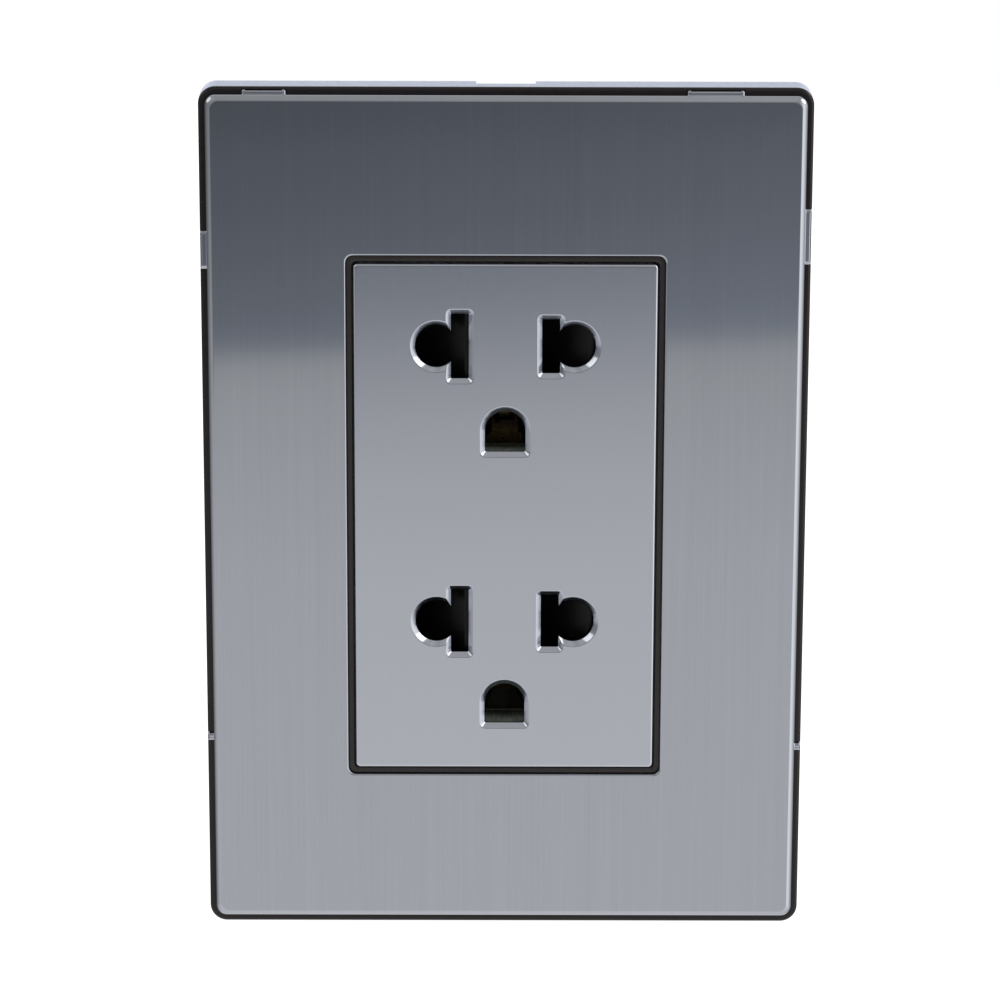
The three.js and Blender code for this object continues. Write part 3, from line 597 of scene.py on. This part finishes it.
def build_face():
    s = Shell()
    holes_front, holes_back = [], []
    for z in SOCKET_Z:
        for outline in (partial(key_outline, -1, z), partial(key_outline, 1, z),
                        partial(earth_outline, z)):
            rings = [s.ring(y, outline(grow)) for grow, y in APERTURE_EDGE]
            s.wall(*rings)
            holes_front.append(rings[0])
            holes_back.append(rings[-1])
    e = FACE_ROUND
    front = rounded(FACE_W - 2 * e - 0.2, FACE_H - 2 * e - 0.2, 0.42, 0, MODULE_Z, 8)
    outer = [s.ring(0.0, front)]
    for a in quarter(6):
        d = e - e * math.sin(a)
        outline = rounded(FACE_W - 2 * d, FACE_H - 2 * d, 0.6 - 0.5 * d, 0, MODULE_Z, 8)
        outer.append(s.ring(e - e * math.cos(a), outline))
    outer += s.stepped(FACE_STEPS, corner_steps=8)
    s.wall(*outer)
    s.flat(outer[0], *holes_front)
    s.flat(outer[-1], *holes_back)
    for sx in (-1, 1):
        for sz in (-1, 1):
            s.post(sx * POST_X, MODULE_Z + sz * POST_DZ, radius=2.2, bore=1.3,
                   y0=0.7, y1=9.8, floor=2.0)
        for dz in (-24, 24):  # lugs on the sides
            z = MODULE_Z + dz
            x0, x1 = sorted((sx * 20.7, sx * 24.3))
            s.box(x0, x1, 5.6, 7.2, z - 4, z + 4)
    weight_normals(
        make("face_shell", s.verts, s.faces, "silver_face", "module", "socket_face", sharp=48))


# ------------------------------------------------------------------ carrier of the cover
# outside of the plate from the wall forwards: (in front of the wall, in from the side)
PLATE_SIDE = ((0, 0.2), (0.08, 0.06), (0.25, 0), (1.2, 0), (3.0, 0), (4.8, 0), (6.3, 0))
# skin seat, raised rim, lip, ledge, flange recess and hollow back; y is from the wall
CARRIER_STEPS = (
    (SKIN_W, SKIN_H, 0, ((-7.3, -0.3, 1.35), (-7.35, -0.4, 1.3), (-7.65, -0.4, 1.3))),
    (OPEN_W, OPEN_H, MODULE_Z,
     ((-7.65, -0.1, 0.95), (-7.93, -0.1, 0.95), (-7.98, -0.2, 0.9), (-8.0, -0.32, 0.85))),
    (LIP_W, LIP_H, MODULE_Z,
     ((-8.0, 0.3, 0.7), (-7.96, 0.12, 0.65), (-7.88, 0, 0.6), (-7.2, 0, 0.6))),
    (LEDGE_W, LEDGE_H, MODULE_Z, ((-7.2, 0, 0.5), (-6.4, 0, 0.5))),
    (FLANGE_W, FLANGE_H + 0.1, MODULE_Z, ((-6.4, 0, 0.6), (-4.4, 0, 0.6))),
    (LIP_W, LIP_H, MODULE_Z, ((-4.4, 3, 1.2), (-6.1, 3, 1.2))),
    (PLATE_W - 2 * PLATE_WALL, PLATE_H - 2 * PLATE_WALL, 0,
     ((-6.1, 0, 1.2), (-0.15, 0, 1.2), (0, 0.3, 1.3))),
)
# section of a clip arm: (out from the centre line, y from the wall)
CLIP_SECTION = (
    (38.35, -6.2), (39.6, -6.2), (39.6, -1.15), (39.5, -1.0), (38.3, -1.0),
    (37.95, -1.55), (37.8, -1.9), (37.8, -2.3), (37.95, -2.55), (38.35, -2.9),
)
CLIP_X, CLIP_Y = 38.9, -3.6  # point the section shrinks towards at the arm's ends


def plate_outline(inset):
    return rounded(PLATE_W - 2 * inset, PLATE_H - 2 * inset, PLATE_R - 0.5 * inset)


def build_carrier():
    s = Shell()
    rings = []
    for d, inset in PLATE_SIDE:
        lean = -DRAFT * (DRAFT_HEIGHT - d) / DRAFT_HEIGHT  # the sides lean out to the wall
        rings.append(s.ring(WALL_Y - d, plate_outline(lean + inset)))
    for i, a in enumerate(quarter(8)):  # rounded shoulder
        inset = 0.5 - 0.5 * math.cos(a) - 0.012 * (1 - i / 8)
        rings.append(s.ring(WALL_Y - 6.8 - 0.5 * math.sin(a), plate_outline(inset)))
    rings += s.stepped(CARRIER_STEPS, origin=WALL_Y)
    s.wall(*rings, rings[0])
    blank = make("carrier_shell", s.verts, s.faces, "dark_rim")
    mesh = carve(blank, carrier_tools(), "carrier_shell")
    o = add_object("carrier_shell", mesh)
    mesh.set_sharp_from_angle(angle=math.radians(40))
    weight_normals(dress(o, "cover", "plate_carrier"))


def carrier_tools():
    """Blocks for the notch in the top edge and for the notches that take the skin's tabs."""
    top = PLATE_H / 2
    tools = [block("tool_notch", -4.15, 4.15, WALL_Y - 3.2, WALL_Y + 0.5, top - 2.5, top + 1)]
    for side, centre, length in TABS:
        a, b = centre - length / 2 - 0.1, centre + length / 2 + 0.1
        half = (SKIN_H if side == "top" else SKIN_W) / 2
        # start from the skin's edge, front and back from the wall
        for start, front, back in ((-0.5, -8.2, -7.2), (0.0, -7.5, -5.4)):
            y0, y1 = WALL_Y + front, WALL_Y + back
            p, q = half + start, half + (0.74 if side == "top" else 2.5)
            if side == "top":
                tools.append(block("tool_tab", a, b, y0, y1, p, q))
            else:
                p, q = (p, q) if side == "right" else (-q, -p)
                tools.append(block("tool_tab", p, q, y0, y1, a, b))
    return tools


def block(name, x0, x1, y0, y1, z0, z1):
    verts = [(x, y, z) for x in (x0, x1) for y in (y0, y1) for z in (z0, z1)]
    faces = [(0, 1, 3, 2), (4, 6, 7, 5), (0, 4, 5, 1), (2, 3, 7, 6), (0, 2, 6, 4), (1, 5, 7, 3)]
    return make(name, verts, faces, "dark_rim")


def build_ribs():
    """Crossing ribs and clip arms behind the carrier."""
    s = Shell()
    front = WALL_Y - 6.2
    for z in (-50, -42, 42, 50):
        s.box(-41, 41, front, WALL_Y - 5.2, z - 0.5, z + 0.5, 0.12, 2)
    for x in (-30, 30):
        for z0, z1 in ((-58, -50.4), (-49.6, -42.4), (-41.6, 41.6), (42.4, 49.6), (50.4, 58)):
            s.box(x - 0.5, x + 0.5, front, WALL_Y - 5.25, z0, z1, 0.12, 2)
    for sx in (-1, 1):
        for z in (-38, 0, 38):
            first = len(s.verts)
            # height along the arm, how far its section shrinks
            for dz, k in ((-3.2, 0.1), (-3.1, 0.0), (3.1, 0.0), (3.2, 0.1)):
                s.verts += [
                    (sx * (CLIP_X + (x - CLIP_X) * (1 - k * 0.15)),
                     WALL_Y + CLIP_Y + (y - CLIP_Y) * (1 - k * 0.04), z + dz)
                    for x, y in CLIP_SECTION
                ]
            s.faces += sleeve(len(CLIP_SECTION), 4, first)
    make("carrier_ribs", s.verts, s.faces, "dark_rim", "cover", sharp=40)


# ------------------------------------------------------------------ screws
def screw_profile(head_r, head_h, r, length, pitch):
    """(radius, position) from the head's top at -head_h, past the seat at 0, to the tip."""
    profile = [(0.3 * head_r, -head_h)]
    for a in quarter(8):  # crowned top with a rounded shoulder
        along = -head_h + 0.55 * head_h * (1 - math.cos(a))
        profile.append((head_r * (0.62 + 0.38 * math.sin(a)), along))
    profile += [(head_r, -0.12), (head_r - 0.1, 0.0), (r + 0.25, 0.0), (r, 0.2)]
    count = int((length - 0.2) / pitch * 7)  # seven rings for each turn of thread
    for j in range(1, count + 1):
        t = 0.2 + (length - 0.2) * j / count
        cone = max(0.0, t - (length - 1.0))
        profile.append((r - cone * 0.55, t))
    profile.append((r - 0.62, length))
    return profile


def threaded(r, t, turn, length, pitch, depth):
    """Radius with a helical groove cut in it; the groove fades out at both ends."""
    start, end = 0.3, length - 0.2
    if not start < t < end:
        return r
    phase = (t / pitch - turn) % 1.0
    triangle = 1 - abs(2 * phase - 1)
    crest = min(1.0, max(0.0, (triangle - 0.08) / 0.72))
    fade = min(1.0, (t - start) / pitch, (end - t) / pitch * 1.2)
    return r - depth * (1 - crest) * max(0.0, fade)


def screw_mesh(name, head_r, head_h, r, length, pitch, depth, sides=30):
    """One screw along +Y with its seat at the origin, with a cross and slot recess."""
    profile = screw_profile(head_r, head_h, r, length, pitch)
    verts = []
    for radius, t in profile:
        for i in range(sides):
            a = 2 * math.pi * i / sides
            cut = threaded(radius, t, i / sides, length, pitch, depth)
            verts.append((cut * math.cos(a), t, cut * math.sin(a)))
    o = make(name, verts, sleeve(sides, len(profile)), "zinc_steel", sharp=40)

    long_half = 1.2 * head_r
    tools = []
    # half size along X and Z, taper along X: the open-ended slot, then the short bar across it
    for k, (a, b, taper) in enumerate(((long_half, 0.4, 0.0), (0.4, 0.56 * long_half, 0.05))):
        tool = Shell()
        rings = []
        for y, p, q in ((-head_h - 0.5, a, b), (-head_h + 0.58 * head_h, a - taper, b - 0.05)):
            rings.append(tool.ring(y, [(-p, -q), (p, -q), (p, q), (-p, q)]))
        tool.wall(*rings)
        tool.flat(rings[0])
        tool.flat(rings[1])
        tools.append(make(name + "_tool%d" % k, tool.verts, tool.faces, "zinc_steel"))
    mesh = carve(o, tools, name)
    mesh.set_sharp_from_angle(angle=math.radians(38))
    return mesh


def place_screw(name, mesh, at, turn, slot, body, node):
    """A copy of a screw, turned about Z, standing for a CAD node."""
    o = add_object(name, mesh.copy())
    o.location = [c * MM for c in at]
    o.rotation_euler = (0, 0, turn)
    o.data.materials[0] = MATS[slot]
    dress(o, body, node)


# name, side, height, finish
TERMINALS = (
    ("line_1", 1, 10.5, "brass_strip"),
    ("line_2", 1, -1.5, "brass_strip"),
    ("neutral_1", -1, 10.5, "zinc_steel"),
    ("neutral_2", -1, -1.5, "zinc_steel"),
    ("earth", -1, -24.5, "earth_green"),
)


def build_screws():
    fixing = screw_mesh("fixing_mesh", head_r=3.45, head_h=2.2, r=1.7, length=24.0,
                        pitch=0.7, depth=0.27)
    for end, z in (("top", 41.65), ("bottom", -41.65)):
        node = "fixing_screw_" + end
        place_screw("wall_screw_" + end, fixing, (0, WALL_Y - 2.65, z), 0, "zinc_steel", node, node)

    module = screw_mesh("module_mesh", head_r=2.6, head_h=1.6, r=1.2, length=26.2,
                        pitch=1.0, depth=0.24, sides=26)
    for end, sz in (("top", 1), ("bottom", -1)):
        for side, sx in (("left", -1), ("right", 1)):
            corner = end + "_" + side
            at = (sx * POST_X, WALL_Y + 21.2, MODULE_Z + sz * POST_DZ)
            place_screw("body_screw_" + corner, module, at, math.pi, "zinc_steel",
                        "module", "module_screw_" + corner)

    terminal = screw_mesh("terminal_mesh", head_r=3.2, head_h=1.9, r=1.65, length=6.6,
                          pitch=0.6, depth=0.25)
    for name, side, z, slot in TERMINALS:
        node = "terminal_screw_" + name
        place_screw("binding_screw_" + name, terminal, (side * 18.75, WALL_Y + 11.3, z),
                    side * math.pi / 2, slot, node, node)


# ------------------------------------------------------------------ springs
SPRING_X0, SPRING_X1 = -3.1, 11.7
SPRING_Y = WALL_Y - 3.6
SPRING_DZ = 7.35  # above the socket centre
SPRING_TURNS, TURN_STEPS = 7, 26
COIL_R, WIRE_R, WIRE_SIDES = 1.1, 0.2, 10
CLOSED_TURNS, CLOSED_PITCH = 0.75, 0.42  # close-wound part at each end


def spring_path(cz):
    span = SPRING_X1 - SPRING_X0
    low = WIRE_R + CLOSED_TURNS * CLOSED_PITCH
    high = span - WIRE_R - CLOSED_TURNS * CLOSED_PITCH
    steps = TURN_STEPS * SPRING_TURNS
    path = []
    for i in range(steps + 1):
        t = i / steps
        a = 2 * math.pi * SPRING_TURNS * t
        turn = t * SPRING_TURNS
        if turn < CLOSED_TURNS:
            x = WIRE_R + turn * CLOSED_PITCH
        elif turn > SPRING_TURNS - CLOSED_TURNS:
            x = span - WIRE_R - (SPRING_TURNS - turn) * CLOSED_PITCH
        else:
            x = low + (high - low) * (turn - CLOSED_TURNS) / (SPRING_TURNS - 2 * CLOSED_TURNS)
        y, z = SPRING_Y + COIL_R * math.cos(a), cz + COIL_R * math.sin(a)
        path.append(Vector((SPRING_X0 + x, y, z)))
    return path


def build_springs():
    for name, socket_z in zip(("upper", "lower"), SOCKET_Z):
        cz = socket_z + SPRING_DZ
        path = spring_path(cz)
        verts = []
        for i, p in enumerate(path):
            along = (path[min(i + 1, len(path) - 1)] - path[max(i - 1, 0)]).normalized()
            out = Vector((0, p.y - SPRING_Y, p.z - cz))
            out = (out - along * out.dot(along)).normalized()
            side = along.cross(out)
            for j in range(WIRE_SIDES):
                a = 2 * math.pi * j / WIRE_SIDES
                verts.append(tuple(p + (out * math.cos(a) + side * math.sin(a)) * WIRE_R))
        o = make("return_spring_" + name, verts, sleeve(WIRE_SIDES, len(path)), "zinc_steel",
                 "module", "shutter_spring_" + name, sharp=60)
        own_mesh(o)


# ------------------------------------------------------------------ carried-over CAD nodes
def refine(node, slot, width):
    """The CAD shape stays; its edges are broken by width and it gets its finish."""
    o = NODES[node]
    if o.material_slots:
        for material_slot in o.material_slots:
            material_slot.material = MATS[slot]
    else:
        o.data.materials.append(MATS[slot])
    smooth_shade(o.data)
    if "custom_normal" in o.data.attributes:
        o.data.attributes.remove(o.data.attributes["custom_normal"])
    weld = o.modifiers.new("weld", "WELD")
    weld.merge_threshold = 0.004 * MM
    planar = o.modifiers.new("planar", "DECIMATE")
    planar.decimate_type = "DISSOLVE"
    planar.angle_limit = math.radians(0.6)
    if width:
        bevel = o.modifiers.new("edges", "BEVEL")
        bevel.width = width * MM
        bevel.segments = 2
        bevel.limit_method = "ANGLE"
        bevel.angle_limit = math.radians(32)
        bevel.use_clamp_overlap = True
        bevel.miter_outer = "MITER_ARC"
    weight_normals(o)


# node: (material, edge width)
FINISH = {
    "grid_frame": ("grid_plastic", 0.0),
    "rear_housing": ("housing_plastic", 0.0),
    "aperture_liner": ("black_plastic", 0.0),
    "partition_plate": ("black_plastic", 0.0),
    "shutter_upper": ("black_plastic", 0.12),
    "shutter_lower": ("black_plastic", 0.12),
    "screw_retainer_top": ("nylon", 0.08),
    "screw_retainer_bottom": ("nylon", 0.08),
}
for node in NODES:
    if "_contact_" in node:
        FINISH[node] = ("contact_bronze", 0.06)
    elif "_rivet_" in node or node.endswith("_busbar"):
        FINISH[node] = ("brass_strip", 0.08)
    elif node.startswith("clamp_plate_"):
        FINISH[node] = ("zinc_steel", 0.07)

build_skin()
build_carrier()
build_ribs()
build_face()
build_screws()
build_springs()
for node, (slot, width) in FINISH.items():
    refine(node, slot, width)


# ------------------------------------------------------------------ room
def cool(v):
    """A slightly blue grey."""
    return (v * 0.94, v, v * 1.12)


# brightness of the surroundings by direction: (direction component from -1 to 1, grey or colour)
FRONT_SKY = (  # by height
    (-1.0, 0.75), (-0.6, 0.72), (-0.304, 0.615), (-0.24, 0.60), (-0.196, 0.58),
    (-0.172, 0.543), (-0.159, 0.526), (-0.147, 0.503), (-0.135, 0.480), (-0.1265, 0.448),
    (-0.1232, 0.420), (-0.1205, cool(0.29)), (-0.1165, cool(0.262)), (-0.110, cool(0.236)),
    (-0.098, cool(0.214)), (-0.085, cool(0.194)), (-0.073, cool(0.178)), (-0.061, cool(0.169)),
    (-0.049, cool(0.158)), (-0.036, cool(0.132)), (0.0, cool(0.125)), (0.05, cool(0.21)),
    (0.14, 0.28), (0.45, 0.34), (0.75, 0.42), (1.0, 0.42),
)
RIGHT_SKY = ((-1.0, 0.75), (-0.3, 1.15), (0.2, 1.25), (0.7, 0.9), (1.0, 0.45))
LEFT_SKY = (
    (-1.0, 0.85), (-0.5, 0.76), (-0.3, 0.66), (-0.18, 0.56), (-0.10, 0.40), (-0.03, 0.31),
    (0.2, 0.28), (0.7, 0.45), (1.0, 0.42),
)
REAR_SKY = (
    (-1.0, 0.75), (-0.4, 0.9), (0.0, (1.0, 1.04, 1.16)), (0.12, (1.02, 1.09, 1.30)),
    (0.30, (1.02, 1.09, 1.30)), (0.5, 1.05), (1.0, 0.45),
)
SIDE_FALL = (  # dimming of both sides by Y, towards the rear
    (-1.0, 1.0), (-0.5, 1.0), (-0.3, 0.93), (-0.1, 0.80), (0.1, 0.58), (0.3, 0.40),
    (0.6, 0.26), (1.0, 0.20),
)


def sky_ramp(g, component, stops):
    node = g.new("ShaderNodeValToRGB", {"Fac": g.times(g.plus(component, 1.0), 0.5)})
    elements = node.color_ramp.elements
    while len(elements) < len(stops):
        elements.new(0.5)
    for k, (position, c) in enumerate(stops):
        elements[k].position = (position + 1) / 2
        elements[k].color = rgb(*c) if isinstance(c, tuple) else rgb(c, c, c)
    return node.outputs["Color"]


def build_world():
    """Soft surroundings that only lighting and reflections see; the camera sees white."""
    world = bpy.data.worlds.new("studio")
    bpy.context.scene.world = world
    world.use_nodes = True
    g = Graph(world.node_tree)
    g.tree.nodes.clear()
    smooth = partial(g.span, interpolation_type="SMOOTHSTEP")

    def inverse(value):
        return g.calc("SUBTRACT", 1.0, value)

    x, y, z = g.separate(g.new("ShaderNodeTexCoord").outputs["Generated"])
    tilted = g.calc("SUBTRACT", z, g.times(x, 0.029))  # the front pattern slopes slightly
    front = sky_ramp(g, tilted, FRONT_SKY)
    right = sky_ramp(g, z, RIGHT_SKY)
    left = sky_ramp(g, z, LEFT_SKY)
    rear = sky_ramp(g, z, REAR_SKY)
    fall = sky_ramp(g, y, SIDE_FALL)
    right, left = g.vector_times(right, fall), g.vector_times(left, fall)
    dim = inverse(g.times(smooth(y, low=0.15, high=0.7), 0.7))
    front = g.vector_times(front, g.combine(dim, dim, dim))

    colour = g.mix(smooth(x, low=0.40, high=0.85), front, right)
    colour = g.mix(smooth(g.times(x, -1.0), low=0.40, high=0.85), colour, left)
    behind = g.times(smooth(y, low=0.0, high=0.45),
                     inverse(smooth(g.calc("ABSOLUTE", x), low=0.35, high=0.60)))
    # the dark upper front is a little lighter towards the right
    lift = g.times(g.times(x, 0.95), smooth(z, low=-0.128, high=-0.112))
    lift = g.times(lift, inverse(smooth(g.calc("ABSOLUTE", x), low=0.15, high=0.30)))
    gain = g.plus(lift, 1.0)
    colour = g.vector_times(colour, g.combine(gain, gain, gain))
    colour = g.mix(behind, colour, rear)
    seen = g.new("ShaderNodeLightPath").outputs["Is Camera Ray"]
    colour = g.mix(seen, colour, rgb(1.0, 1.0, 1.0))
    background = g.new("ShaderNodeBackground", {"Color": colour, "Strength": 1.0})
    g.new("ShaderNodeOutputWorld", {"Surface": background.outputs[0]})
    world.cycles.sampling_method = "MANUAL"
    world.cycles.sample_map_resolution = 1024


def build_floor():
    """A white floor that only the camera sees."""
    m = Mat("floor")
    m.tree.nodes.remove(m.shader)
    ins = {"Vector": m.coords, "Scale": 3.0, "Detail": 2.0}
    tone = m.new("ShaderNodeTexNoise", ins).outputs["Fac"]
    grey = m.mix(tone, rgb(0.50, 0.50, 0.50), rgb(0.52, 0.52, 0.52))
    diffuse = m.new("ShaderNodeBsdfDiffuse", {"Color": grey})
    glow = m.new("ShaderNodeEmission", {"Color": rgb(1, 1, 1), "Strength": 1.0})
    both = m.new("ShaderNodeAddShader", {0: diffuse.outputs[0], 1: glow.outputs[0]})
    output = [n for n in m.tree.nodes if n.type == "OUTPUT_MATERIAL"][0]
    m.put(output.inputs["Surface"], both.outputs[0])

    half, z = 4.0, -60.25 * MM  # half in metres
    corners = [(-half, -half, z), (half, -half, z), (half, half, z), (-half, half, z)]
    mesh = bpy.data.meshes.new("floor")
    mesh.from_pydata(corners, [], [(0, 1, 2, 3)])
    mesh.materials.append(m.material)
    o = add_object("floor", mesh)
    o.visible_glossy = False
    o.visible_diffuse = False
    o.visible_transmission = False
    o.visible_shadow = False


def lamp(name, direction, distance, size, watts):
    """A disc lamp, distance and size in metres, aimed at the origin."""
    light = bpy.data.lights.new(name, "AREA")
    light.shape = "DISK"
    light.size = size
    light.energy = watts
    o = add_object(name, light)
    away = Vector(direction).normalized()
    o.location = away * distance
    o.rotation_euler = (-away).to_track_quat("-Z", "Y").to_euler()
    o.visible_camera = False


def build_camera():
    camera = bpy.data.cameras.new("camera")
    camera.lens = 100.8
    camera.sensor_width = 36.0
    camera.clip_start = 0.01
    camera.clip_end = 20.0
    o = add_object("camera", camera)
    o.location = (-1.47 * MM, -385.8 * MM, 71.11 * MM)
    o.rotation_euler = [math.radians(a) for a in (79.904, -0.152, -0.087)]
    bpy.context.scene.camera = o


build_world()
build_floor()
lamp("key_right", direction=(0.76, -0.09, 0.63), distance=0.9, size=0.52, watts=0.95)
lamp("key_left", direction=(-0.76, -0.09, 0.63), distance=0.9, size=0.52, watts=0.55)
build_camera()
bpy.context.scene.view_settings.view_transform = "Standard"
